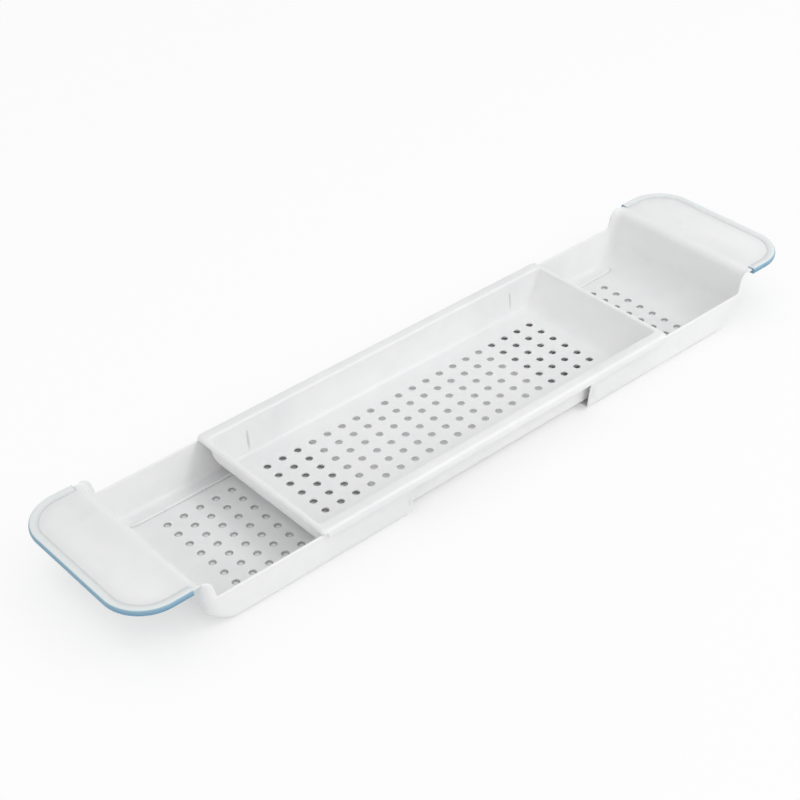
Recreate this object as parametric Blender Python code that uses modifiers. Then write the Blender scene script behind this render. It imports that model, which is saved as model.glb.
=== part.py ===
import math

import bmesh
import bpy
from mathutils import Matrix

# Bath caddy: a perforated centre tray that rides on two sliding arm trays. The outer end of
# each arm is scooped, climbs and rolls over into a lug, and a soft grip round the lug rests
# on the rim of the bath. Lengths are in metres, X runs along the caddy, +Z is up, and z = 0
# is the underside of the arm trays.

mm = 0.001

# Sheet, fits and cuts
sheet = 1.8 * mm                    # moulded wall, the same in all three trays
running_gap = 0.3 * mm              # between faces that touch or slide on each other
overrun = 5.0 * mm                  # a cutter passes the surface it cuts by this much

# Arm tray, measured from its open inner end
arm_half_width = 85.6 * mm          # outer face of the side wall at its rim
arm_height = 37.7 * mm              # underside to side rim
arm_wall_lean = 3.8 * mm            # the side wall leans out this far from foot to rim
arm_foot_radius = 5.5 * mm          # inside, between floor and side wall
arm_floor_length = 174.6 * mm       # inner end to the start of the scoop
arm_scoop_length = 34.5 * mm        # the floor sweeps up in a quarter ellipse
arm_scoop_height = 26.2 * mm
arm_corner = 7.0 * mm               # inside, in plan, between side wall and end wall
arm_end_lean = math.radians(12.5)   # of the end wall above the scoop
arm_end_corner = 8.0 * mm           # the open inner end is rounded from the floor up, seen from the side
arm_reach = 107.4 * mm              # middle of the caddy to the inner end, pulled out as shown

# Lug at the outer end of the arm
lug_height = 56.6 * mm              # underside of the arm to the top of the lug
lug_roll_radius = 9.5 * mm          # top of the end wall, where it turns into the lug
lug_length = 55.2 * mm              # crest of the roll to the outer edge
lug_inset = 2.0 * mm                # edge of the lug, in from the outer face of the side wall
lug_corner = 36.1 * mm
shoulder_radius = 2.0 * mm          # curve between the side rim and the climb to the lug
shoulder_margin = 0.4 * mm          # the climb starts this far before the corner in plan

# Centre tray
centre_floor_half_length = 177.0 * mm
centre_scoop_length = 23.0 * mm
centre_scoop_height = 27.0 * mm
centre_end_lean = math.radians(8.0)
centre_foot_radius = 4.5 * mm
centre_wall_lean = 2.3 * mm
centre_corner = 5.0 * mm
side_gap = 4.5 * mm                 # between centre wall and arm wall, at their feet
floor_corner = 2.0 * mm             # in plan, where the flat of a floor ends

# Rolled rim and lip of the centre tray
rim_headroom = 2.5 * mm             # underside of the rim above the rim of the arm
rim_inner_radius = 2.1 * mm
rim_outer_radius = 3.0 * mm
rim_corner = 4.5 * mm
end_rim_width = 5.5 * mm            # wall to lip, across the rim at the two ends
lip_depth = 8.2 * mm                # along the two long sides
end_lip_clearance = 0.6 * mm        # the shallow lip at the ends clears the arm rims

# Rails under the centre tray and on the arm floors
rail_height = 2.4 * mm              # lifts the centre tray off the arm floors
rail_width = 1.8 * mm
runner_inset = 1.5 * mm             # runner, in from the foot of the centre wall
runner_root = 2.8 * mm              # how far a runner reaches up into the rounded foot
runner_end_margin = 7.0 * mm        # runner ends, in from the end of the flat floor
rail_to_runner = 6.6 * mm
rail_start = 4.0 * mm               # rail, from the inner end of the arm

# Stops that keep an arm from pulling out, and the groove behind each rib
stop_width = 6.0 * mm
stop_depth = 3.4 * mm
stop_height = 20.0 * mm
stop_drop = 12.0 * mm               # top of a stop, below the top of the rim
rib_inset = 16.0 * mm               # rib, in from the end of the flat floor
nub_inset = 4.0 * mm                # nub, in from the inner end of the arm
groove_width = 2.9 * mm
groove_depth = 2.8 * mm

# Drain holes, on one grid in all three trays
hole_diameter = 7.0 * mm
hole_pitch_x = 17.0 * mm
hole_pitch_y = 16.0 * mm
hole_margin = 9.0 * mm              # floor left between the last holes and what bounds them
first_hole = 25.0 * mm              # first column of an arm, from its inner end
hole_sides = 8

# Soft grip round the lug
grip_pad_width = 12.0 * mm          # under the lug
grip_pad_thickness = 2.6 * mm
grip_cover = 6.0 * mm               # over the top edge of the lug
grip_cover_thickness = 0.9 * mm
grip_chamfer = 0.6 * mm
grip_reach = 2.4 * mm               # beyond the edge of the lug
grip_nose = 1.6 * mm                # depth of the rounded outer face
grip_start = 0.4 * mm               # past the crest of the roll

# Facets
foot_steps = 3
scoop_steps = 4
corner_steps = 3
roll_steps = 5
shoulder_step_shares = (0.25, 1.0)  # rows of the shoulder, as shares of its radius
rim_steps = 3
lug_corner_steps = 6
nose_steps = 4
rail_end_steps = 3
stop_sides = 6
stop_rings = 6
merge_distance = 0.05 * mm
flat_angle = math.radians(0.2)      # faces closer than this to one plane are merged

# Worked out from the sizes above
arm_floor_top = sheet
arm_foot_half_width = arm_half_width - sheet - arm_wall_lean
lug_half_width = arm_half_width - lug_inset
centre_foot_half_width = arm_foot_half_width - side_gap - sheet
centre_underside = arm_floor_top + rail_height + running_gap
centre_floor_top = centre_underside + sheet
rim_top = arm_height + rim_headroom + sheet
lip_half_width = arm_half_width + running_gap + sheet
centre_depth = rim_top - rim_inner_radius - centre_floor_top
runner_outer = centre_foot_half_width + sheet - runner_inset
rail_outer = runner_outer - rail_width - rail_to_runner
stop_middle = rim_top - stop_drop - stop_height / 2


def clear_scene():
    for item in list(bpy.data.objects):
        bpy.data.objects.remove(item, do_unlink=True)


def new_collection(name):
    collection = bpy.data.collections.new(name)
    bpy.context.scene.collection.children.link(collection)
    return collection


def plastic(name, colour, roughness):
    material = bpy.data.materials.new(name)
    material.use_nodes = True
    shader = material.node_tree.nodes["Principled BSDF"]
    shader.inputs["Base Color"].default_value = (*colour, 1.0)
    shader.inputs["Roughness"].default_value = roughness
    shader.inputs["Metallic"].default_value = 0.0
    return material


def add_object(name, data, collection, parent=None):
    item = bpy.data.objects.new(name, data)
    collection.objects.link(item)
    item.parent = parent
    return item


def mesh_object(name, bm, collection, parent=None):
    mesh = bpy.data.meshes.new(name)
    bm.to_mesh(mesh)
    bm.free()
    return add_object(name, mesh, collection, parent)


def guide_object(name, bm, parent=None):
    guide = mesh_object(name, bm, guides, parent)
    guide.hide_render = True
    guide.display_type = "WIRE"
    return guide


# Modifiers

def mirror(item, across_x=False, across_y=False):
    modifier = item.modifiers.new("mirror", "MIRROR")
    modifier.use_axis = (across_x, across_y, False)
    modifier.merge_threshold = merge_distance


def solidify(item):
    modifier = item.modifiers.new("sheet", "SOLIDIFY")
    modifier.thickness = sheet
    modifier.offset = -1.0
    modifier.use_even_offset = True


def boolean(item, tool, operation):
    modifier = item.modifiers.new(tool.name, "BOOLEAN")
    modifier.operation = operation
    modifier.object = tool


def merge_flat_faces(item):
    modifier = item.modifiers.new("flat_faces", "DECIMATE")
    modifier.decimate_type = "DISSOLVE"
    modifier.angle_limit = flat_angle


# A tray is a stack of rounded rectangles: each row gives its half length, half width, corner and height

def quarter_reach(height, length, rise):
    if height >= rise:
        return length
    return length * math.sqrt(1.0 - (1.0 - height / rise) ** 2)


def row_heights(foot_radius, scoop_height, depth):
    heights = []
    for step in range(foot_steps + 1):
        heights.append(foot_radius * (1.0 - math.cos(math.pi / 2 * step / foot_steps)))
    foot_angle = math.acos(1.0 - foot_radius / scoop_height)
    for step in range(1, scoop_steps + 1):
        angle = foot_angle + (math.pi / 2 - foot_angle) * step / scoop_steps
        heights.append(scoop_height * (1.0 - math.cos(angle)))
    heights.append(depth)
    return heights


def bowl_rows(floor_length, foot_half_width, floor_top, depth, foot_radius, wall_lean,
              scoop_length, scoop_height, end_lean, corner):
    rows = []
    for height in row_heights(foot_radius, scoop_height, depth):
        foot = quarter_reach(height, foot_radius, foot_radius)
        lean_share = max(0.0, height - foot_radius) / (depth - foot_radius)
        rows.append((
            floor_length + quarter_reach(height, scoop_length, scoop_height)
            + max(0.0, height - scoop_height) * math.tan(end_lean),
            foot_half_width - foot_radius + foot + wall_lean * lean_share,
            floor_corner + (corner - floor_corner) * foot / foot_radius,
            floor_top + height,
        ))
    return rows


def ring_points(row, side_spots):
    length, half_width, corner, height = row
    points = [(x, half_width, height) for x in side_spots]
    for step in range(corner_steps + 1):
        angle = math.pi / 2 * step / corner_steps
        points.append((
            length - corner + corner * math.sin(angle),
            half_width - corner + corner * math.cos(angle),
            height,
        ))
    points.append((length, 0.0, height))
    return points


def add_ring(bm, points):
    return [bm.verts.new(point) for point in points]


def bridge(bm, lower, upper):
    for index in range(len(lower) - 1):
        bm.faces.new((lower[index], lower[index + 1], upper[index + 1], upper[index]))


def bowl(bm, rows, side_spots):
    rings = [add_ring(bm, ring_points(row, spots)) for row, spots in zip(rows, side_spots)]
    middle = bm.verts.new((side_spots[0][0], 0.0, rows[0][3]))
    bm.faces.new(rings[0][::-1] + [middle])
    for lower, upper in zip(rings, rings[1:]):
        bridge(bm, lower, upper)
    return rings[-1]


# Solids that are joined to a sheet or cut from it

def add_box(bm, low, high):
    size = [top - bottom for bottom, top in zip(low, high)]
    middle = [(bottom + top) / 2 for bottom, top in zip(low, high)]
    place = Matrix.Translation(middle) @ Matrix.Diagonal((*size, 1.0))
    bmesh.ops.create_cube(bm, size=1.0, matrix=place)


def add_lens(bm, width, depth, height, middle, tilt, root=None):
    made = bmesh.ops.create_uvsphere(bm, u_segments=stop_sides, v_segments=stop_rings, radius=1.0)["verts"]
    for vert in made:
        vert.co.x *= width / 2
        vert.co.y *= depth
        vert.co.z *= height / 2
        if root is not None:
            vert.co.y = max(vert.co.y, -root)
    place = Matrix.Translation(middle) @ Matrix.Rotation(tilt, 4, "X")
    bmesh.ops.transform(bm, matrix=place, verts=made)


def hole_cutter(name, columns, row_limit, floor_top, parent=None):
    rows = int((row_limit - hole_margin - hole_diameter / 2) / hole_pitch_y)
    bm = bmesh.new()
    for column in columns:
        for row in range(-rows, rows + 1):
            place = Matrix.Translation((column, row * hole_pitch_y, floor_top - sheet / 2))
            bmesh.ops.create_cone(
                bm, cap_ends=True, segments=hole_sides, radius1=hole_diameter / 2,
                radius2=hole_diameter / 2, depth=sheet + 2 * overrun, matrix=place,
            )
    return guide_object(name, bm, parent)


# Centre tray

def centre_rows():
    rows = bowl_rows(
        centre_floor_half_length, centre_foot_half_width, centre_floor_top, centre_depth,
        centre_foot_radius, centre_wall_lean, centre_scoop_length, centre_scoop_height,
        centre_end_lean, centre_corner,
    )
    wall_length, wall_half_width, corner, wall_top = rows[-1]
    for step in range(1, rim_steps + 1):
        angle = math.pi / 2 * step / rim_steps
        out = rim_inner_radius * (1.0 - math.cos(angle))
        rows.append((wall_length + out, wall_half_width + out, corner,
                     wall_top + rim_inner_radius * math.sin(angle)))
    rim_length = wall_length + end_rim_width
    for step in range(rim_steps + 1):
        angle = math.pi / 2 * step / rim_steps
        inset = rim_outer_radius * (1.0 - math.sin(angle))
        rows.append((rim_length - inset, lip_half_width - inset, rim_corner,
                     rim_top - rim_outer_radius * (1.0 - math.cos(angle))))
    rows.append((rim_length, lip_half_width, rim_corner, rim_top - lip_depth))
    return rows


def centre_wall_slope():
    return math.atan(centre_wall_lean / (centre_depth - centre_foot_radius))


def stop_place_on_centre(outwards):
    rise = stop_middle - centre_floor_top - centre_foot_radius
    face = centre_foot_half_width + rise * math.tan(centre_wall_slope()) + outwards
    return (centre_floor_half_length - rib_inset, face, stop_middle)


def build_centre_tray():
    rows = centre_rows()
    bm = bmesh.new()
    bowl(bm, rows, [[0.0]] * len(rows))
    tray = mesh_object("centre_tray", bm, parts)
    mirror(tray, across_x=True, across_y=True)
    solidify(tray)

    bm = bmesh.new()
    runner_end = centre_floor_half_length - runner_end_margin
    add_box(bm, (-runner_end, runner_outer - rail_width, centre_underside - rail_height),
            (runner_end, runner_outer, centre_underside + runner_root))
    runners = guide_object("centre_runners", bm)
    mirror(runners, across_y=True)
    boolean(tray, runners, "UNION")

    bm = bmesh.new()
    add_lens(bm, stop_width, stop_depth, stop_height, stop_place_on_centre(sheet),
             -centre_wall_slope(), root=sheet / 2)
    ribs = guide_object("centre_stop_ribs", bm)
    mirror(ribs, across_x=True, across_y=True)
    boolean(tray, ribs, "UNION")

    bm = bmesh.new()
    add_lens(bm, groove_width, groove_depth, stop_height, stop_place_on_centre(0.0),
             -centre_wall_slope())
    grooves = guide_object("centre_grooves", bm)
    mirror(grooves, across_x=True, across_y=True)
    boolean(tray, grooves, "DIFFERENCE")

    bm = bmesh.new()
    rim_length = rows[-1][0]
    add_box(bm, (rim_length - rim_corner - running_gap, -lip_half_width - overrun,
                 rim_top - lip_depth - overrun),
            (rim_length + overrun, lip_half_width + overrun, arm_height + end_lip_clearance))
    lip_ends = guide_object("centre_lip_ends", bm)
    mirror(lip_ends, across_x=True)
    boolean(tray, lip_ends, "DIFFERENCE")

    half_columns = int((centre_floor_half_length - hole_margin - hole_diameter / 2) / hole_pitch_x + 0.5)
    columns = [(index + 0.5) * hole_pitch_x for index in range(-half_columns, half_columns)]
    holes = hole_cutter("centre_holes", columns, centre_foot_half_width - centre_foot_radius,
                        centre_floor_top)
    boolean(tray, holes, "DIFFERENCE")
    merge_flat_faces(tray)
    return tray


# Arm tray and lug

def arm_bowl_rows():
    return bowl_rows(
        arm_floor_length, arm_foot_half_width, arm_floor_top, arm_height - arm_floor_top,
        arm_foot_radius, arm_wall_lean, arm_scoop_length, arm_scoop_height, arm_end_lean,
        arm_corner,
    )


def quarter_curve(rise, radius):
    # how far a quarter round still has to go sideways at a height above where it starts
    left = max(0.0, radius - rise)
    return radius - math.sqrt(radius ** 2 - left ** 2)


def shoulder_spot(row, rim_height):
    length, _, corner, height = row
    return length - corner - shoulder_margin - quarter_curve(height - rim_height, shoulder_radius)


def climb_rows(rim_row):
    rim_length, rim_half_width, corner, rim_height = rim_row
    path = []
    for share in shoulder_step_shares:
        rise = shoulder_radius * share
        path.append((rim_length + rise * math.tan(arm_end_lean), rim_height + rise))
    start_height = lug_height - lug_roll_radius * (1.0 - math.sin(arm_end_lean))
    start_length = rim_length + (start_height - rim_height) * math.tan(arm_end_lean)
    for step in range(roll_steps + 1):
        angle = arm_end_lean + (math.pi / 2 - arm_end_lean) * step / roll_steps
        out = lug_roll_radius * (math.cos(arm_end_lean) - math.cos(angle))
        path.append((start_length + out, lug_height - lug_roll_radius * (1.0 - math.sin(angle))))
    rows = []
    for length, height in path:
        climb_share = (height - rim_height) / (lug_height - rim_height)
        half_width = rim_half_width + (lug_half_width - rim_half_width) * climb_share
        rows.append((length, half_width, corner, height))
    return rows


def lug_outline(crest_length, root_length):
    edge = crest_length + lug_length
    points = [(root_length, lug_half_width)]
    for step in range(lug_corner_steps + 1):
        angle = math.pi / 2 * step / lug_corner_steps
        points.append((
            edge - lug_corner + lug_corner * math.sin(angle),
            lug_half_width - lug_corner + lug_corner * math.cos(angle),
        ))
    return points


def add_arm_rail(bm):
    # runs on at one height until the scoop has climbed to its top
    side = [(rail_start, arm_floor_top + rail_height), (rail_start, arm_floor_top / 2)]
    for step in range(rail_end_steps + 1):
        climb = rail_height * (step / rail_end_steps) ** 2
        side.append((arm_floor_length + quarter_reach(climb, arm_scoop_length, arm_scoop_height),
                     arm_floor_top / 2 + climb))
    side.append((side[-1][0], arm_floor_top + rail_height))
    face = bm.faces.new([bm.verts.new((x, rail_outer - rail_width, z)) for x, z in side])
    made = bmesh.ops.extrude_face_region(bm, geom=[face])["geom"]
    moved = [item for item in made if isinstance(item, bmesh.types.BMVert)]
    bmesh.ops.translate(bm, verts=moved, vec=(0.0, rail_width, 0.0))
    bmesh.ops.recalc_face_normals(bm, faces=bm.faces)


def build_arm_tray(name, slide):
    rows = arm_bowl_rows()
    side_spots = [[quarter_curve(row[3], arm_end_corner), shoulder_spot(row, row[3])] for row in rows]
    bm = bmesh.new()
    lower = bowl(bm, rows, side_spots)[1:]
    climb = climb_rows(rows[-1])
    for row in climb:
        upper = add_ring(bm, ring_points(row, [shoulder_spot(row, rows[-1][3])]))
        bridge(bm, lower, upper)
        lower = upper
    crest_length = climb[-1][0]
    outline = lug_outline(crest_length, crest_length)
    outline.append((crest_length + lug_length, 0.0))
    edge = [bm.verts.new((x, y, lug_height)) for x, y in outline]
    bm.faces.new(edge[::-1] + lower[1:])
    tray = mesh_object(name, bm, parts, slide)
    mirror(tray, across_y=True)
    solidify(tray)

    bm = bmesh.new()
    add_arm_rail(bm)
    slope = math.atan(arm_wall_lean / (arm_height - arm_floor_top - arm_foot_radius))
    rise = stop_middle - arm_floor_top - arm_foot_radius
    add_lens(bm, stop_width, stop_depth, stop_height,
             (nub_inset, arm_foot_half_width + rise * math.tan(slope), stop_middle),
             math.pi - slope, root=sheet / 2)
    additions = guide_object(name + "_rails_and_nubs", bm, slide)
    mirror(additions, across_y=True)
    boolean(tray, additions, "UNION")

    last = arm_floor_length - hole_margin - hole_diameter / 2
    columns = [first_hole + index * hole_pitch_x
               for index in range(int((last - first_hole) / hole_pitch_x) + 1)]
    holes = hole_cutter(name + "_holes", columns, rail_outer - rail_width, arm_floor_top, slide)
    boolean(tray, holes, "DIFFERENCE")
    merge_flat_faces(tray)
    return tray


# Soft grip

def poly_curve(name, points, collection, cyclic, parent=None):
    curve = bpy.data.curves.new(name, "CURVE")
    curve.dimensions = "3D"
    spline = curve.splines.new("POLY")
    spline.points.add(len(points) - 1)
    for spot, point in zip(spline.points, points):
        spot.co = (*point, 1.0)
    spline.use_cyclic_u = cyclic
    return add_object(name, curve, collection, parent)


def grip_section():
    # across from the edge of the lug, and up from its top face
    pad_top = -sheet - running_gap
    pad_bottom = pad_top - grip_pad_thickness
    cover_bottom = running_gap
    cover_top = cover_bottom + grip_cover_thickness
    points = [
        (-grip_pad_width, pad_top),
        (running_gap, pad_top),
        (running_gap, cover_bottom),
        (-grip_cover, cover_bottom),
        (-grip_cover, cover_top - grip_chamfer),
        (-grip_cover + grip_chamfer, cover_top),
    ]
    nose_middle = (cover_top + pad_bottom) / 2
    nose_half_height = (cover_top - pad_bottom) / 2
    for step in range(nose_steps + 1):
        angle = math.pi / 2 - math.pi * step / nose_steps
        points.append((
            grip_reach - grip_nose + grip_nose * math.cos(angle),
            nose_middle + nose_half_height * math.sin(angle),
        ))
    points.append((-grip_pad_width, pad_bottom))
    return points


def build_grip(name, slide):
    crest_length = climb_rows(arm_bowl_rows()[-1])[-1][0]
    half = lug_outline(crest_length, crest_length + grip_start)
    path = [(x, y, lug_height) for x, y in half]
    path += [(x, -y, lug_height) for x, y in reversed(half)]
    outline = [(-across, up, 0.0) for across, up in reversed(grip_section())]
    section = poly_curve(name + "_section", outline, guides, True)
    section.hide_render = True
    section.display_type = "WIRE"
    grip = poly_curve(name, path, parts, False, slide)
    grip.data.twist_mode = "Z_UP"
    grip.data.bevel_mode = "OBJECT"
    grip.data.bevel_object = section
    grip.data.use_fill_caps = True
    return grip


clear_scene()
parts = new_collection("bath_caddy")
guides = new_collection("cutters_and_guides")
white_plastic = plastic("white_polypropylene", (0.80, 0.81, 0.82), 0.38)
soft_rubber = plastic("soft_grip_elastomer", (0.15, 0.33, 0.42), 0.62)

build_centre_tray().data.materials.append(white_plastic)
for side, turn in (("left", math.pi), ("right", 0.0)):
    arm_slide = add_object(side + "_arm_slide", None, parts)
    arm_slide.location = (arm_reach * math.cos(turn), 0.0, 0.0)
    arm_slide.rotation_euler = (0.0, 0.0, turn)
    build_arm_tray(side + "_arm_tray", arm_slide).data.materials.append(white_plastic)
    build_grip(side + "_grip", arm_slide).data.materials.append(soft_rubber)
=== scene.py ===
import math

import bmesh
import bpy
from mathutils import Matrix, Vector


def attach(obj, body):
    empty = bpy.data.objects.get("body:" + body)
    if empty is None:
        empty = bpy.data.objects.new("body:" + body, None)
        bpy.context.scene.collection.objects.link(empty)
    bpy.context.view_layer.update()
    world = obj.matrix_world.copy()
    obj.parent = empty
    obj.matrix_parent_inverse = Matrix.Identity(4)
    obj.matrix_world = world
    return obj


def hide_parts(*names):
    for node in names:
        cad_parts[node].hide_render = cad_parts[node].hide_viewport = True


# A bath caddy in three white mouldings that slide in each other, with a soft grip round each lug.
# The mouldings and grips are made here again with round holes, smooth scoops and rounded edges,
# each where its plain solid is. Lengths are in millimetres until a mesh is finished.

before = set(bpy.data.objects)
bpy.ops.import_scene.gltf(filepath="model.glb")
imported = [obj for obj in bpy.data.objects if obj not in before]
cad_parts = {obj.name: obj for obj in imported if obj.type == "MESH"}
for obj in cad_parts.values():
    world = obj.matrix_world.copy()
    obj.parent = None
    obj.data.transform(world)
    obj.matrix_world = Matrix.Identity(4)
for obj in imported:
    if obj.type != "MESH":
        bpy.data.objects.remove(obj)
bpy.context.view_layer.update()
mm = 0.001

# What all three mouldings share
moulding = {
    "sheet": 1.8,
    "runningGap": 0.3,
    "edgeBulge": 0.6,            # how far a rounded edge stands out from where the flat skin stops
    "edgeSquareness": 0.7,       # 1 is a round edge, less is squarer
    "floorCorner": 2.0,
    "railHeight": 2.4,           # of the arms' rails, and of the runners under the centre tray
    "railWidth": 1.8,
    "railToRunner": 6.6,
}

# How finely curved surfaces are divided
facets = {"foot": 8, "scoop": 18, "wall": 5, "corner": 10, "roll": 14, "rim": 6, "lugCorner": 20,
          "edge": 6, "hole": 28, "runnerEnd": 8, "railTop": 6, "railClimb": 12, "gripCorner": 4,
          "gripNose": 12}

drainHoles = {
    "diameter": 7.0,
    "pitchX": 17.0,
    "pitchY": 16.0,
    "margin": 9.0,
    "edgeBulge": 0.25,
    "guard": 0.5,                # flat ring round each hole, which keeps the floor's shading even
}


# Rings of points, from the floor up

def quarterReach(height, length, rise):
    if height >= rise:
        return length
    return length * math.sqrt(1 - (1 - height / rise) ** 2)


def rowHeights(footRadius, scoopHeight, depth):
    heights = [footRadius * (1 - math.cos(math.pi / 2 * step / facets["foot"]))
               for step in range(facets["foot"] + 1)]
    footAngle = math.acos(1 - footRadius / scoopHeight)
    for step in range(1, facets["scoop"] + 1):
        angle = footAngle + (math.pi / 2 - footAngle) * step / facets["scoop"]
        heights.append(scoopHeight * (1 - math.cos(angle)))
    for step in range(1, facets["wall"] + 1):
        heights.append(scoopHeight + (depth - scoopHeight) * step / facets["wall"])
    return heights


def bowlRows(tray, footHalfWidth, floorTop, depth, wallDepth):
    # each row is (half length, half width, corner, height)
    footRadius = tray["footRadius"]
    floorCorner = moulding["floorCorner"]
    rows = []
    for height in rowHeights(footRadius, tray["scoopHeight"], depth):
        foot = quarterReach(height, footRadius, footRadius)
        leanShare = max(0, height - footRadius) / (wallDepth - footRadius)
        rows.append((
            tray["floorLength"] + quarterReach(height, tray["scoopLength"], tray["scoopHeight"])
            + max(0, height - tray["scoopHeight"]) * math.tan(tray["endLean"]),
            footHalfWidth - footRadius + foot + tray["wallLean"] * leanShare,
            floorCorner + (tray["corner"] - floorCorner) * foot / footRadius,
            floorTop + height,
        ))
    # a narrow flat ring inside the first row, so that the foot's curve doesn't shade the floor
    length, halfWidth, corner, height = rows[0]
    guard = drainHoles["guard"]
    return [(length - guard, halfWidth - guard, corner, height)] + rows


def quarterRing(row, stations):
    length, halfWidth, corner, height = row
    points = [(x, halfWidth, height) for x in stations]
    for step in range(facets["corner"] + 1):
        angle = math.pi / 2 * step / facets["corner"]
        points.append((length - corner + corner * math.sin(angle),
                       halfWidth - corner + corner * math.cos(angle), height))
    points.append((length, 0, height))
    return points


def openLoop(quarter):
    return quarter + [(x, -y, z) for x, y, z in reversed(quarter)][1:]


def closedLoop(quarter):
    half = openLoop(quarter)
    return half + [(-x, y, z) for x, y, z in reversed(half)][1:-1]


def addPoints(bm, points):
    return [bm.verts.new(point) for point in points]


def bridge(bm, lower, upper, closed=False):
    count = len(lower)
    for index in range(count if closed else count - 1):
        after = (index + 1) % count
        bm.faces.new((lower[index], lower[after], upper[after], upper[index]))


def loopEdges(bm, loop):
    edges = []
    for index, vert in enumerate(loop):
        pair = (vert, loop[(index + 1) % len(loop)])
        edges.append(bm.edges.get(pair) or bm.edges.new(pair))
    return edges


# The floor, with its drain holes and the feet of the runners under it

def circle(x, y, z, radius):
    turns = [2 * math.pi * step / facets["hole"] for step in range(facets["hole"])]
    return [(x + radius * math.cos(turn), y + radius * math.sin(turn), z) for turn in turns]


def runnerFoot(start, end, y, z):
    radius = moulding["railWidth"] / 2
    points = []
    for middle, first in ((end - radius, -math.pi / 2), (start + radius, math.pi / 2)):
        for step in range(facets["runnerEnd"] + 1):
            angle = first + math.pi * step / facets["runnerEnd"]
            points.append((middle + radius * math.cos(angle), y + radius * math.sin(angle), z))
    return points


def fillFloor(bm, outline, height, holeSpots, runnerLines):
    edges = loopEdges(bm, outline)
    radius = drainHoles["diameter"] / 2 + drainHoles["edgeBulge"]
    bulges = {}
    for x, y in holeSpots:
        guard = addPoints(bm, circle(x, y, height, radius + drainHoles["guard"]))
        hole = addPoints(bm, circle(x, y, height, radius))
        bridge(bm, guard, hole, closed=True)
        edges += loopEdges(bm, guard)
        bulges.update((vert, drainHoles["edgeBulge"]) for vert in hole)
    feet = []
    for start, end, y in runnerLines:
        foot = addPoints(bm, runnerFoot(start, end, y, height))
        edges += loopEdges(bm, foot)
        feet.append(bm.faces.new(foot))
    made = bmesh.ops.triangle_fill(bm, use_beauty=True, edges=edges, normal=(0, 0, 1))
    bm.normal_update()
    upsideDown = [item for item in made["geom"]
                  if isinstance(item, bmesh.types.BMFace) and item.normal.z < 0]
    bmesh.ops.reverse_faces(bm, faces=upsideDown)
    return feet, bulges


# Gives the skin its thickness, with a rounded edge along every border, holes included

def thicken(bm, sheet, bulges):
    bm.normal_update()
    skin = list(bm.verts)
    skinFaces = list(bm.faces)
    borders = []
    outward = {}
    for edge in bm.edges:
        if edge.is_boundary:
            corner = edge.link_loops[0]
            pair = (corner.vert, corner.link_loop_next.vert)
            away = (pair[1].co - pair[0].co).cross(corner.face.normal).normalized()
            borders.append(pair)
            for vert in pair:
                outward[vert] = outward.get(vert, Vector()) + away
    normals = {vert: vert.normal.copy() for vert in skin}
    under = {vert: bm.verts.new(vert.co - normals[vert] * sheet) for vert in skin}
    underFaces = {face: bm.faces.new([under[vert] for vert in reversed(face.verts)])
                  for face in skinFaces}
    chains = {}
    for vert, away in outward.items():
        middle = vert.co - normals[vert] * sheet / 2
        away = away.normalized() * bulges.get(vert, moulding["edgeBulge"])
        chains[vert] = [vert]
        for step in range(1, facets["edge"]):
            angle = math.pi * step / facets["edge"]
            up = math.copysign(abs(math.cos(angle)) ** moulding["edgeSquareness"], math.cos(angle))
            out = math.sin(angle) ** moulding["edgeSquareness"]
            chains[vert].append(bm.verts.new(middle + normals[vert] * up * sheet / 2 + away * out))
        chains[vert].append(under[vert])
    for first, second in borders:
        bridge(bm, [second, first], [chains[second][1], chains[first][1]])
        for step in range(1, facets["edge"]):
            bridge(bm, [chains[second][step], chains[first][step]],
                   [chains[second][step + 1], chains[first][step + 1]])
    return under, underFaces


def pressWall(verts, middle, width, height, depth):
    # pushes a lens shape out of both long walls, or in where depth is negative; middle is how far
    # along and how high it lies, and how far out a point has to be to count as wall
    for vert in verts:
        across = (abs(vert.co.x) - middle[0]) / (width / 2)
        up = (vert.co.z - middle[1]) / (height / 2)
        lens = 1 - across ** 2 - up ** 2
        if lens > 0 and abs(vert.co.y) > middle[2]:
            vert.co.y += math.copysign(depth * math.sqrt(lens), vert.co.y)


def finishMesh(name, bm, place, material):
    bmesh.ops.transform(bm, matrix=place @ Matrix.Scale(mm, 4), verts=bm.verts)
    mesh = bpy.data.meshes.new(name)
    bm.to_mesh(mesh)
    bm.free()
    mesh.shade_smooth()
    mesh.materials.append(material)
    item = bpy.data.objects.new(name, mesh)
    bpy.context.scene.collection.objects.link(item)
    return item


# Materials

def linear(hexColour):
    channels = [int(hexColour[start:start + 2], 16) / 255 for start in (1, 3, 5)]
    return tuple(level / 12.92 if level <= 0.04045 else ((level + 0.055) / 1.055) ** 2.4
                 for level in channels) + (1,)


def addNode(tree, kind, settings=None, values=None, links=None):
    # an input goes by its name, or by its number where two have the same name
    node = tree.nodes.new(kind)
    for name, value in (settings or {}).items():
        setattr(node, name, value)
    for socket, value in (values or {}).items():
        node.inputs[socket].default_value = value
    for socket, source in (links or {}).items():
        tree.links.new(source, node.inputs[socket])
    return node


def newMaterial(name):
    material = bpy.data.materials.new(name)
    material.use_nodes = True
    return material, material.node_tree, material.node_tree.nodes["Principled BSDF"]


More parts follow.
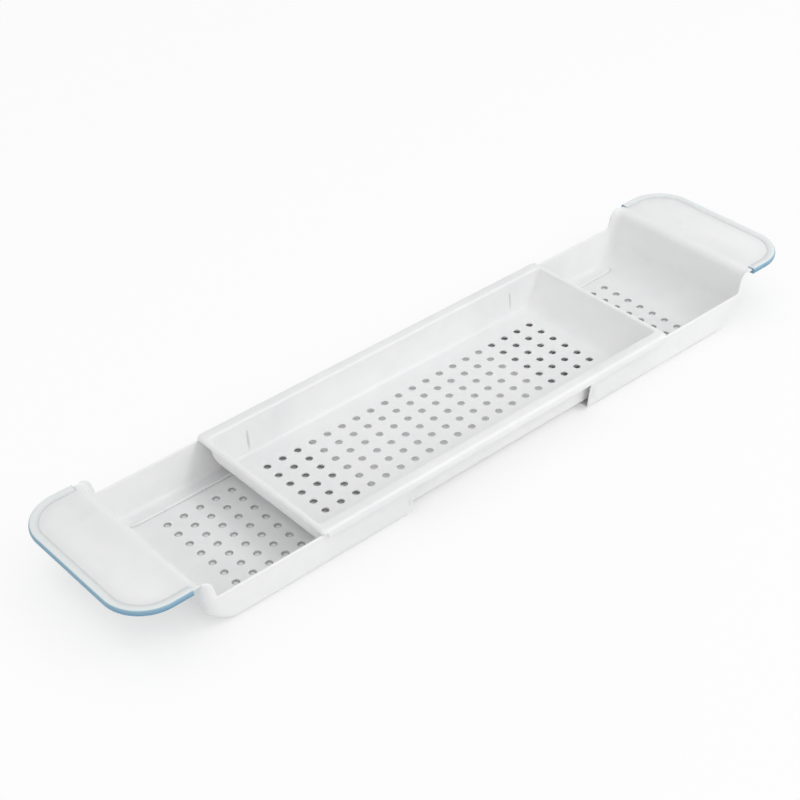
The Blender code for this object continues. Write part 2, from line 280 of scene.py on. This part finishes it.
def addPlasticSkin(tree, shader, facts, place, cloud):
    # gloss that drifts with the cloud, a fine grain, and light that passes into the plastic
    gloss = addNode(tree, "ShaderNodeMapRange",
                    values={"To Min": facts["roughness"][0], "To Max": facts["roughness"][1]},
                    links={"Value": cloud})
    grain = addNode(tree, "ShaderNodeTexNoise",
                    values={"Scale": 1 / (facts["grain"] * mm), "Detail": 2},
                    links={"Vector": place})
    bump = addNode(tree, "ShaderNodeBump",
                   values={"Strength": 1, "Distance": facts["grainDepth"] * mm},
                   links={"Height": grain.outputs["Fac"]})
    tree.links.new(gloss.outputs["Result"], shader.inputs["Roughness"])
    tree.links.new(bump.outputs["Normal"], shader.inputs["Normal"])
    shader.inputs["IOR"].default_value = facts["ior"]
    shader.inputs["Subsurface Weight"].default_value = facts["scatter"]
    shader.inputs["Subsurface Radius"].default_value = facts["depthByColour"]
    shader.inputs["Subsurface Scale"].default_value = facts["depthOfLight"] * mm


# White polypropylene, injection moulded in a fine-textured tool: a satin white that spreads each
# highlight wide, lets a little light into the sheet, and shows faint flow marks in its gloss
whitePolypropylene = {
    "colour": "#F4F4F4",
    "flowColour": "#F0F1F1",
    "roughness": (0.36, 0.46),
    "ior": 1.49,
    "depthOfLight": 2.5,         # mm that light travels inside the plastic
    "depthByColour": (1.0, 0.95, 0.9),          # red, green and blue, as shares of that
    "scatter": 0.6,
    "flowMark": 28.0,            # mm from one flow mark to the next
    "flowDetail": 3.0,
    "flowSwirl": 0.6,
    "flowSpan": (0.3, 0.65),     # where the colour starts to turn and where it has turned
    # the tool's texture is about 0.1 mm, too fine to show, so it is drawn coarser
    "grain": 1.1,
    "grainDepth": 0.006,
}


def makeWhitePolypropylene():
    facts = whitePolypropylene
    material, tree, shader = newMaterial("mouldedWhitePolypropylene")
    place = addNode(tree, "ShaderNodeTexCoord").outputs["Object"]
    flow = addNode(tree, "ShaderNodeTexNoise",
                   values={"Scale": 1 / (facts["flowMark"] * mm), "Detail": facts["flowDetail"],
                           "Distortion": facts["flowSwirl"]},
                   links={"Vector": place}).outputs["Fac"]
    tint = addNode(tree, "ShaderNodeValToRGB", links={"Fac": flow})
    ramp = tint.color_ramp.elements
    for element, name, spot in zip(ramp, ("flowColour", "colour"), facts["flowSpan"]):
        element.color = linear(facts[name])
        element.position = spot
    tree.links.new(tint.outputs["Color"], shader.inputs["Base Color"])
    addPlasticSkin(tree, shader, facts, place, flow)
    return material


# Soft thermoplastic elastomer, overmoulded: a clear blue-green round the thick outer edge that is
# nearly white where it lies thin on top of the lug, with a matt, slightly dragging skin
softElastomer = {
    "colours": ((-0.3, "#6F9DBA"), (0.6, "#98BACB"), (0.88, "#C9DDE2"), (0.97, "#EDF2F2")),
    "cloudDrift": 0.04,          # the colours go by how far the skin faces up, give or take this
    "roughness": (0.5, 0.62),
    "ior": 1.5,
    "depthOfLight": 1.6,
    "depthByColour": (0.8, 1.0, 1.0),
    "scatter": 0.35,
    "cloud": 9.0,                # mm between cloudy patches
    # the real skin's grain is too fine to show as well, and is drawn coarser
    "grain": 0.8,
    "grainDepth": 0.012,
}


def makeSoftElastomer():
    facts = softElastomer
    material, tree, shader = newMaterial("overmouldedSoftElastomer")
    place = addNode(tree, "ShaderNodeTexCoord").outputs["Object"]
    cloud = addNode(tree, "ShaderNodeTexNoise",
                    values={"Scale": 1 / (facts["cloud"] * mm), "Detail": 2},
                    links={"Vector": place}).outputs["Fac"]
    facing = addNode(tree, "ShaderNodeNewGeometry").outputs["Normal"]
    upward = addNode(tree, "ShaderNodeSeparateXYZ", links={"Vector": facing}).outputs["Z"]
    drift = addNode(tree, "ShaderNodeMapRange",
                    values={"To Min": -facts["cloudDrift"], "To Max": facts["cloudDrift"]},
                    links={"Value": cloud}).outputs["Result"]
    level = addNode(tree, "ShaderNodeMath", settings={"operation": "ADD"},
                    links={0: upward, 1: drift}).outputs[0]
    lowest, highest = facts["colours"][0][0], facts["colours"][-1][0]
    share = addNode(tree, "ShaderNodeMapRange",
                    values={"From Min": lowest, "From Max": highest},
                    links={"Value": level}).outputs["Result"]
    tint = addNode(tree, "ShaderNodeValToRGB", links={"Fac": share})
    ramp = tint.color_ramp.elements
    for facingUp, _ in facts["colours"][1:-1]:
        ramp.new((facingUp - lowest) / (highest - lowest))
    for element, (_, colour) in zip(ramp, facts["colours"]):
        element.color = linear(colour)
    tree.links.new(tint.outputs["Color"], shader.inputs["Base Color"])
    addPlasticSkin(tree, shader, facts, place, cloud)
    return material


whitePlastic = makeWhitePolypropylene()
softGrip = makeSoftElastomer()
print("materials made")


# Arm tray and lug, measured from the open inner end
armTray = {
    "reach": 107.4,              # middle of the caddy to the inner end
    "halfWidth": 85.6,           # outer face of the side wall at its rim
    "height": 37.7,              # underside to side rim
    "wallLean": 3.8,
    "footRadius": 5.5,
    "floorLength": 174.6,
    "scoopLength": 34.5,
    "scoopHeight": 26.2,
    "corner": 7.0,
    "endLean": math.radians(12.5),
    "innerCorner": 8.0,          # the open end is rounded from the floor up, seen from the side
    "firstHole": 25.0,
    "railStart": 4.0,
    "railNose": ((0, 1.4), (0.15, 0.7), (0.5, 0.2), (1, 0)),    # along from its start, and down
    "railCrown": 0.5,            # height of the rail's rounded top
    "shoulder": 2.0,             # curve between the side rim and the climb to the lug
    "shoulderRows": (0.06, 0.2, 0.42, 0.7, 1),                  # shares of its height
    "climbMargin": 0.4,
}
lug = {
    "height": 56.6,
    "rollRadius": 9.5,
    "length": 55.2,
    "inset": 2.0,                # narrower than the tray by this on each side
    "corner": 36.1,
}
armFootHalfWidth = armTray["halfWidth"] - moulding["sheet"] - armTray["wallLean"]
lugHalfWidth = armTray["halfWidth"] - lug["inset"]

# Centre tray, with its rolled rim
centreTray = {
    "floorLength": 177.0,
    "scoopLength": 23.0,
    "scoopHeight": 27.0,
    "endLean": math.radians(8.0),
    "footRadius": 4.5,
    "wallLean": 2.3,
    "corner": 5.0,
    "sideGap": 4.5,              # to the arms' long walls, at the foot
    "rimHeadroom": 2.5,          # under the rim, above the arms' side rims
    "rimInnerRadius": 2.1,
    "rimOuterRadius": 3.0,
    "rimCorner": 4.5,
    "endRimWidth": 5.5,
    "lipDepth": 8.2,
    "lipJoin": 1.5,              # from the end lip down to the first row of the side lips
    "endLipClearance": 0.6,
    "cornerMargin": 0.5,         # flat wall that is left before each corner
    "runnerInset": 1.5,
    "runnerEndMargin": 7.0,
    "runnerFillet": ((0.12, 0.05), (0.05, 0.12)),               # each step goes in and then up
    "runnerDraft": 0.02,
    "runnerCrown": ((0.1, 0.2), (0.2, 0.12), (0.25, 0.03)),
}
centreFootHalfWidth = armFootHalfWidth - centreTray["sideGap"] - moulding["sheet"]
centreFloorTop = 2 * moulding["sheet"] + moulding["railHeight"] + moulding["runningGap"]
rimTop = armTray["height"] + centreTray["rimHeadroom"] + moulding["sheet"]
lipHalfWidth = armTray["halfWidth"] + moulding["runningGap"] + moulding["sheet"]
runnerOuter = centreFootHalfWidth + moulding["sheet"] - centreTray["runnerInset"]
railOuter = runnerOuter - moulding["railWidth"] - moulding["railToRunner"]

# Stops on the long walls: a rib outside the centre wall with a groove behind it, a nub in each arm
stops = {
    "width": 6.0,
    "depth": 3.4,
    "height": 20.0,
    "drop": 12.0,
    "ribInset": 16.0,
    "nubInset": 4.0,
    "grooveWidth": 2.9,
    "grooveDepth": 2.8,
    "nubWidth": 4.4,
    "nubDepth": 1.6,
    "spacing": 0.35,             # between the columns of points that make these shapes
    "columnMargin": 0.5,         # the columns go on this far on each side of a rib
    "floorMargin": 1.0,          # what counts as wall starts this far inside the foot's edge
}
stopMiddle = rimTop - stops["drop"] - stops["height"] / 2


def holeRows(limit):
    rows = int((limit - drainHoles["margin"] - drainHoles["diameter"] / 2) / drainHoles["pitchY"])
    return [row * drainHoles["pitchY"] for row in range(-rows, rows + 1)]


def stationsAround(middle, width):
    count = round(width / 2 / stops["spacing"])
    return [middle + step * stops["spacing"] for step in range(-count, count + 1)]


def raiseRunners(bm, feet):
    # a small fillet, the straight side, and a rounded top
    fillet, crown = centreTray["runnerFillet"], centreTray["runnerCrown"]
    straight = moulding["railHeight"] - sum(rise for _, rise in fillet + crown)
    for foot in feet:
        for inset, rise in (*fillet, (centreTray["runnerDraft"], straight), *crown):
            bmesh.ops.inset_region(bm, faces=[foot], thickness=inset, depth=rise,
                                   use_even_offset=True)


def makeCentreTray():
    tray = centreTray
    bulge = moulding["edgeBulge"]
    wallTop = rimTop - tray["rimInnerRadius"]
    depth = wallTop - centreFloorTop
    rows = bowlRows(tray, centreFootHalfWidth, centreFloorTop, depth, depth)
    wallLength, wallHalfWidth, corner, _ = rows[-1]
    for step in range(1, facets["rim"] + 1):
        angle = math.pi / 2 * step / facets["rim"]
        out = tray["rimInnerRadius"] * (1 - math.cos(angle))
        rows.append((wallLength + out, wallHalfWidth + out, corner,
                     wallTop + tray["rimInnerRadius"] * math.sin(angle)))
    rimLength = wallLength + tray["endRimWidth"]
    for step in range(facets["rim"] + 1):
        angle = math.pi / 2 * step / facets["rim"]
        inset = tray["rimOuterRadius"] * (1 - math.sin(angle))
        rows.append((rimLength - inset, lipHalfWidth - inset, tray["rimCorner"],
                     rimTop - tray["rimOuterRadius"] * (1 - math.cos(angle))))
    endLip = armTray["height"] + tray["endLipClearance"] + bulge
    rows.append((rimLength, lipHalfWidth, tray["rimCorner"], endLip))

    ribAt = tray["floorLength"] - stops["ribInset"]
    lipEnd = rimLength - tray["rimCorner"] - moulding["runningGap"] - bulge
    columns = [0.0] + stationsAround(ribAt, stops["width"] + 2 * stops["columnMargin"])
    bm = bmesh.new()
    rings = []
    for row in rows:
        last = min(lipEnd, row[0] - row[2] - tray["cornerMargin"])
        rings.append(addPoints(bm, closedLoop(quarterRing(row, columns + [last]))))
    for lower, upper in zip(rings, rings[1:]):
        bridge(bm, lower, upper, closed=True)

    # the deep lip runs along the two long sides only
    sideLip = rings[-1]
    reach = len(columns) + 1
    quarter = len(quarterRing(rows[0], columns + [0]))
    for middle in (0, 2 * quarter - 2):
        lower = [sideLip[index % len(sideLip)]
                 for index in range(middle - reach + 1, middle + reach)]
        for height in (endLip - tray["lipJoin"], rimTop - tray["lipDepth"] + bulge):
            upper = addPoints(bm, [(vert.co.x, vert.co.y, height) for vert in lower])
            bridge(bm, lower, upper)
            lower = upper

    half = int((tray["floorLength"] - drainHoles["margin"] - drainHoles["diameter"] / 2)
               / drainHoles["pitchX"] + 0.5)
    spots = [((column + 0.5) * drainHoles["pitchX"], y) for column in range(-half, half)
             for y in holeRows(centreFootHalfWidth - tray["footRadius"])]
    runnerEnd = tray["floorLength"] - tray["runnerEndMargin"]
    runnerMiddle = rows[0][1] - moulding["railWidth"]
    feet, bulges = fillFloor(bm, rings[0], centreFloorTop, spots,
                             [(-runnerEnd, runnerEnd, side * runnerMiddle) for side in (-1, 1)])
    under, underFaces = thicken(bm, moulding["sheet"], bulges)
    raiseRunners(bm, [underFaces[foot] for foot in feet])
    place = (ribAt, stopMiddle, centreFootHalfWidth - stops["floorMargin"])
    pressWall(under.keys(), place, stops["grooveWidth"], stops["height"], stops["grooveDepth"])
    walls = [vert for vert in under.values()
             if abs(vert.co.y) < armFootHalfWidth - stops["floorMargin"]]
    pressWall(walls, place, stops["width"], stops["height"], stops["depth"])
    return finishMesh("centreTray", bm, Matrix(), whitePlastic)


def climbRows(rimRow):
    # from the side rim up the end wall and over the roll, to the crest where the lug starts
    rimLength, rimHalfWidth, corner, rimHeight = rimRow
    lean = armTray["endLean"]
    startHeight = lug["height"] - lug["rollRadius"] * (1 - math.sin(lean))
    startLength = rimLength + (startHeight - rimHeight) * math.tan(lean)
    heights = [rimHeight + armTray["shoulder"] * share for share in armTray["shoulderRows"]]
    rows = [(rimLength + (height - rimHeight) * math.tan(lean), height) for height in heights]
    for step in range(facets["roll"] + 1):
        angle = lean + (math.pi / 2 - lean) * step / facets["roll"]
        rows.append((startLength + lug["rollRadius"] * (math.cos(lean) - math.cos(angle)),
                     lug["height"] - lug["rollRadius"] * (1 - math.sin(angle))))
    edge = lugHalfWidth - moulding["edgeBulge"]
    spread = (edge - rimHalfWidth) / (lug["height"] - rimHeight)
    return [(length, rimHalfWidth + spread * (height - rimHeight), corner, height)
            for length, height in rows]


def shoulderReach(height, rimHeight):
    radius = armTray["shoulder"]
    drop = max(0, radius - (height - rimHeight))
    return armTray["climbMargin"] + radius - math.sqrt(radius ** 2 - drop ** 2)


def lugOutline(crestLength, rootLength, inset):
    # one half, each point with the direction that faces out of the edge
    edge = crestLength + lug["length"]
    points = [(rootLength, lugHalfWidth - inset, 0, 1)]
    for step in range(facets["lugCorner"] + 1):
        angle = math.pi / 2 * step / facets["lugCorner"]
        across, along = math.sin(angle), math.cos(angle)
        radius = lug["corner"] - inset
        points.append((edge - lug["corner"] + radius * across,
                       lugHalfWidth - lug["corner"] + radius * along, across, along))
    points.append((edge - inset, 0, 1, 0))
    return points


def armRows():
    bulge = moulding["edgeBulge"]
    wallDepth = armTray["height"] - moulding["sheet"]
    return bowlRows(armTray, armFootHalfWidth, moulding["sheet"], wallDepth - bulge, wallDepth)


def armPlace(side):
    turn = 0 if side == "right" else math.pi
    return Matrix.Rotation(turn, 4, "Z") @ Matrix.Translation((armTray["reach"] * mm, 0, 0))


def addArmRail(bm, middle):
    # runs on at one height until the scoop has climbed to its top; its foot is inside the sheet
    rise, half, crown = moulding["railHeight"], moulding["railWidth"] / 2, armTray["railCrown"]
    foot, top = moulding["sheet"] / 2, moulding["sheet"] + rise
    path = [(armTray["railStart"] + along, foot, top - drop)
            for along, drop in armTray["railNose"]]
    for step in range(facets["railClimb"] + 1):
        climb = rise * (step / facets["railClimb"]) ** 2
        path.append((armTray["floorLength"]
                     + quarterReach(climb, armTray["scoopLength"], armTray["scoopHeight"]),
                     foot + climb, top))
    rings = []
    for x, bottom, crest in path:
        # a second low point keeps the side upright to look at down to the floor
        low = bottom + (crest - crown - bottom) / 4
        points = [(x, middle - half, bottom), (x, middle - half, low)]
        for step in range(facets["railTop"] + 1):
            angle = math.pi * step / facets["railTop"]
            across = math.copysign(abs(math.cos(angle)) ** 0.5, math.cos(angle))
            down = 1 - math.sin(angle) ** 0.5
            points.append((x, middle - across * half, crest - down * crown))
        points += [(x, middle + half, low), (x, middle + half, bottom)]
        rings.append(addPoints(bm, points))
    for lower, upper in zip(rings, rings[1:]):
        bridge(bm, upper, lower, closed=True)
    bm.faces.new(rings[0])
    bm.faces.new(rings[-1][::-1])


def makeArmTray(side):
    bulge = moulding["edgeBulge"]
    rows = armRows()
    rimRow = rows[-1]
    nubEnd = stops["nubInset"] + stops["nubWidth"]
    columns = round(nubEnd / stops["spacing"])
    bm = bmesh.new()
    rings = []
    for row in rows:
        radius = armTray["innerCorner"]
        lift = max(0, radius - row[3])
        innerEnd = bulge + radius - math.sqrt(radius ** 2 - lift ** 2)
        stations = [innerEnd + (nubEnd - innerEnd) * step / columns for step in range(columns + 1)]
        stations.append(row[0] - row[2] - shoulderReach(rimRow[3], rimRow[3]))
        rings.append(addPoints(bm, openLoop(quarterRing(row, stations))))
    for lower, upper in zip(rings, rings[1:]):
        bridge(bm, lower, upper)
    first = columns + 1
    lower = rings[-1][first:-first]
    for row in climbRows(rimRow):
        start = row[0] - row[2] - shoulderReach(row[3], rimRow[3])
        upper = addPoints(bm, openLoop(quarterRing(row, [start])))
        bridge(bm, lower, upper)
        lower = upper
    crestLength = climbRows(rimRow)[-1][0]
    half = [(x, y, lug["height"]) for x, y, _, _ in lugOutline(crestLength, crestLength, bulge)]
    edge = addPoints(bm, openLoop(half))
    plate = bm.faces.new(edge[::-1] + lower[1:-1])
    bmesh.ops.inset_region(bm, faces=[plate], thickness=drainHoles["guard"], use_even_offset=True)

    lastHole = armTray["floorLength"] - drainHoles["margin"] - drainHoles["diameter"] / 2
    holeColumns = range(int((lastHole - armTray["firstHole"]) / drainHoles["pitchX"]) + 1)
    spots = [(armTray["firstHole"] + column * drainHoles["pitchX"], y) for column in holeColumns
             for y in holeRows(railOuter - moulding["railWidth"])]
    _, bulges = fillFloor(bm, rings[0], moulding["sheet"], spots, [])
    under, _ = thicken(bm, moulding["sheet"], bulges)
    place = (stops["nubInset"], stopMiddle, armFootHalfWidth - stops["floorMargin"])
    pressWall(under.keys(), place, stops["nubWidth"], stops["height"], -stops["nubDepth"])
    for rail in (-1, 1):
        addArmRail(bm, rail * (railOuter - moulding["railWidth"] / 2))
    return finishMesh(side + "ArmTray", bm, armPlace(side), whitePlastic)


print("making the centre tray")
piece = makeCentreTray()
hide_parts("centre_tray")
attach(piece, "centre")

for side in ("left", "right"):
    print("making the", side, "arm tray")
    piece = makeArmTray(side)
    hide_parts(side + "_arm_tray")
    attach(piece, side + "_arm")


# Soft grip: a pad under the lug, a rounded nose outside its edge and a thin cover over the top
grip = {
    "padWidth": 12.0,
    "padThickness": 2.6,
    "cover": 6.0,
    "coverThickness": 0.9,
    "coverTaper": 4.5,           # the cover thins out over this width, to lie close on the lug
    "reach": 2.4,
    "nose": 1.6,
    "start": 0.4,
    "endRing": 0.5,              # a ring this near each end keeps the end's shading to itself
    "endSteps": ((0.1, 0.2), (0.2, 0.1)),       # each end goes in and then out
    "softening": 0.35,           # radius of the pad's edges
    "slotSoftening": 0.2,
    "tipSoftening": 0.04,
    "tipDepth": 0.05,            # the cover's thin tip sinks into the lug this far
    "taperSoftening": 1.2,
}


def gripSection():
    # (across from the edge of the lug, up from its top face), and how round each corner is
    padTop = -moulding["sheet"] - moulding["runningGap"]
    padBottom = padTop - grip["padThickness"]
    coverBottom = moulding["runningGap"]
    coverTop = coverBottom + grip["coverThickness"]
    corners = [((-grip["padWidth"], padBottom), grip["softening"]),
               ((-grip["padWidth"], padTop), grip["softening"]),
               ((moulding["runningGap"], padTop), grip["slotSoftening"]),
               ((moulding["runningGap"], coverBottom), grip["slotSoftening"]),
               ((-grip["cover"], -grip["tipDepth"]), grip["tipSoftening"]),
               ((grip["coverTaper"] - grip["cover"], coverTop), grip["taperSoftening"])]
    flat = grip["reach"] - grip["nose"]
    spots = [Vector(spot) for spot, _ in corners]
    neighbours = [Vector((flat, padBottom)), *spots, Vector((flat, coverTop))]
    outline = []
    for index, (spot, (_, radius)) in enumerate(zip(spots, corners)):
        toBefore = (neighbours[index] - spot).normalized() * radius
        toAfter = (neighbours[index + 2] - spot).normalized() * radius
        for step in range(facets["gripCorner"] + 1):
            turn = math.pi / 2 * step / facets["gripCorner"]
            point = spot + toBefore * (1 - math.sin(turn)) + toAfter * (1 - math.cos(turn))
            outline.append((point.x, point.y))
    middle, halfHeight = (coverTop + padBottom) / 2, (coverTop - padBottom) / 2
    for step in range(facets["gripNose"] + 1):
        angle = math.pi / 2 - math.pi * step / facets["gripNose"]
        outline.append((flat + grip["nose"] * math.cos(angle),
                        middle + halfHeight * math.sin(angle)))
    return outline


def makeGrip(side):
    crestLength = climbRows(armRows()[-1])[-1][0]
    half = lugOutline(crestLength, crestLength + grip["start"], 0)
    x, y, across, along = half[0]
    half.insert(1, (x + grip["endRing"], y, across, along))
    path = half + [(x, -y, across, -along) for x, y, across, along in reversed(half)][1:]
    section = gripSection()
    bm = bmesh.new()
    rings = [addPoints(bm, [(x + across * out, y + along * out, lug["height"] + up)
                            for out, up in section]) for x, y, across, along in path]
    for lower, upper in zip(rings, rings[1:]):
        bridge(bm, lower, upper, closed=True)
    ends = [bm.faces.new(rings[0][::-1]), bm.faces.new(rings[-1])]
    for end in ends:
        for inset, rise in grip["endSteps"]:
            bmesh.ops.inset_region(bm, faces=[end], thickness=inset, depth=rise)
    bmesh.ops.recalc_face_normals(bm, faces=bm.faces)
    return finishMesh(side + "Grip", bm, armPlace(side), softGrip)


for side in ("left", "right"):
    print("making the", side, "grip")
    piece = makeGrip(side)
    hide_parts(side + "_grip")
    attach(piece, side + "_arm")


# Studio: a white table, soft light all round, a large soft lamp up on the right, a weaker one in
# front and a weak low one on the left
studio = {
    "tableColour": "#F4F4F4",
    "tableRoughness": 0.9,
    "tableSize": 12000.0,
    "tableDrop": 0.05,           # the table lies this far below the arms' floors
    "tableGlow": 0.88,           # share of plain white that the camera sees in the open table
    "shadeReach": 70.0,          # what is nearer than this above the table takes from its glow
    "shadeSpan": (-0.45, 0.95),  # how open it is where the glow would end, and where it is full
    "paintedShadeReach": 4.2,            # and this near, as under the arms' drain holes, painted shade darkens the table's colour
    "paintedShadeSpan": (0.75, 0.97),
    # the grey painted on the table as shade under the drain holes
    "paintedShadeColour": "#8A8C8E",
    "paintedShadeGlow": 0.3,             # share of the table's glow that such a spot of painted shade keeps
    "paintedShadeFade": (52.0, 70.0),    # from the middle line: the painted shade fades out between holes and walls
    "opennessSamples": 8,
    "skyStrength": 0.68,
    "lamps": {                   # place, size and watts
        "softLampRight": ((900.0, -1100.0, 1600.0), 1000.0, 10.5),
        "softLampFront": ((300.0, -1800.0, 1200.0), 1000.0, 4.5),
        "softLampLeft": ((-1700.0, -400.0, 700.0), 1000.0, 2.5),
    },
}


def makeTable():
    material, tree, shader = newMaterial("whiteStudioTable")
    shader.inputs["Roughness"].default_value = studio["tableRoughness"]
    shader.inputs["Specular IOR Level"].default_value = 0

    # how open the table is close by, as at the drain holes, and further up
    close, far = (addNode(tree, "ShaderNodeAmbientOcclusion",
                          settings={"samples": studio["opennessSamples"]},
                          values={"Distance": studio[reach] * mm}).outputs["AO"]
                  for reach in ("paintedShadeReach", "shadeReach"))
    # where the table gets painted shade: how closed in it is close by, faded out away from the
    # middle line
    spots = addNode(tree, "ShaderNodeMapRange",
                    values={"From Min": studio["paintedShadeSpan"][0], "From Max": studio["paintedShadeSpan"][1]},
                    links={"Value": close})
    place = addNode(tree, "ShaderNodeTexCoord").outputs["Object"]
    across = addNode(tree, "ShaderNodeSeparateXYZ", links={"Vector": place}).outputs["Y"]
    away = addNode(tree, "ShaderNodeMath", settings={"operation": "ABSOLUTE"}, links={0: across})
    beside = addNode(tree, "ShaderNodeMapRange",
                     values={"From Min": studio["paintedShadeFade"][0] * mm,
                             "From Max": studio["paintedShadeFade"][1] * mm},
                     links={"Value": away.outputs[0]})
    clear = addNode(tree, "ShaderNodeMath", settings={"operation": "MAXIMUM"},
                    links={0: spots.outputs["Result"], 1: beside.outputs["Result"]}).outputs[0]
    # painted shade: the table's colour turns grey where something lies close above it, as under
    # the arms' drain holes
    colour = addNode(tree, "ShaderNodeValToRGB", links={"Fac": clear})
    colour.color_ramp.elements[0].color = linear(studio["paintedShadeColour"])
    colour.color_ramp.elements[1].color = linear(studio["tableColour"])
    tree.links.new(colour.outputs["Color"], shader.inputs["Base Color"])
    paintedShadeGlow = addNode(tree, "ShaderNodeMapRange", values={"To Min": studio["paintedShadeGlow"]},
                       links={"Value": clear})
    openGlow = addNode(tree, "ShaderNodeMapRange",
                       values={"From Min": studio["shadeSpan"][0],
                               "From Max": studio["shadeSpan"][1], "To Max": studio["tableGlow"]},
                       links={"Value": far})

    # only camera, glossy and transmission rays see the glow, so it lights nothing
    rays = addNode(tree, "ShaderNodeLightPath").outputs
    share = rays["Is Camera Ray"]
    for operation, source in (("MAXIMUM", rays["Is Transmission Ray"]),
                              ("MAXIMUM", rays["Is Glossy Ray"]),
                              ("MULTIPLY", openGlow.outputs["Result"]),
                              ("MULTIPLY", paintedShadeGlow.outputs["Result"])):
        share = addNode(tree, "ShaderNodeMath", settings={"operation": operation},
                        links={0: share, 1: source}).outputs[0]
    glow = addNode(tree, "ShaderNodeEmission", values={"Strength": 1})
    mix = addNode(tree, "ShaderNodeMixShader",
                  links={"Fac": share, 1: shader.outputs[0], 2: glow.outputs[0]})
    tree.links.new(mix.outputs[0], tree.nodes["Material Output"].inputs["Surface"])
    bm = bmesh.new()
    bmesh.ops.create_grid(bm, x_segments=1, y_segments=1, size=studio["tableSize"] / 2)
    place = Matrix.Translation((0, 0, -studio["tableDrop"] * mm))
    table = finishMesh("studioTable", bm, place, material)


def makeLights():
    world = bpy.data.worlds.new("softStudioSky")
    world.use_nodes = True
    bpy.context.scene.world = world
    tree = world.node_tree
    background = tree.nodes["Background"]
    background.inputs["Color"].default_value = linear("#FFFFFF")
    rays = addNode(tree, "ShaderNodeLightPath")
    level = addNode(tree, "ShaderNodeMapRange",
                    values={"To Min": studio["skyStrength"], "To Max": 1},
                    links={"Value": rays.outputs["Is Camera Ray"]})
    tree.links.new(level.outputs["Result"], background.inputs["Strength"])
    for name, (place, size, watts) in studio["lamps"].items():
        lamp = bpy.data.lights.new(name, "AREA")
        lamp.shape = "DISK"
        lamp.size = size * mm
        lamp.energy = watts
        holder = bpy.data.objects.new(name, lamp)
        bpy.context.scene.collection.objects.link(holder)
        holder.location = Vector(place) * mm
        holder.rotation_euler = Vector(place).to_track_quat("Z", "Y").to_euler()


# Camera, where the photograph was taken from
photoCamera = {
    "eye": (-816.34, -898.65, 922.27),
    "azimuth": -40.533,
    "elevation": 36.516,
    "roll": -1.550,
    "focalLength": 75.44,
    "sensorWidth": 36.0,
}


def makeCamera():
    turn, rise, roll = (math.radians(photoCamera[name])
                        for name in ("azimuth", "elevation", "roll"))
    back = Vector((math.sin(turn) * math.cos(rise), -math.cos(turn) * math.cos(rise),
                   math.sin(rise)))
    level = Vector((math.cos(turn), math.sin(turn), 0))
    upright = back.cross(level)
    right = level * math.cos(roll) + upright * math.sin(roll)
    up = upright * math.cos(roll) - level * math.sin(roll)
    camera = bpy.data.cameras.new("photoCamera")
    camera.sensor_width = photoCamera["sensorWidth"]
    camera.lens = photoCamera["focalLength"]
    holder = bpy.data.objects.new("photoCamera", camera)
    bpy.context.scene.collection.objects.link(holder)
    place = Matrix((right, up, back)).transposed().to_4x4()
    place.translation = Vector(photoCamera["eye"]) * mm
    holder.matrix_world = place
    bpy.context.scene.camera = holder


makeTable()
makeLights()
makeCamera()
bpy.context.scene.view_settings.view_transform = "Standard"
print("studio set up")
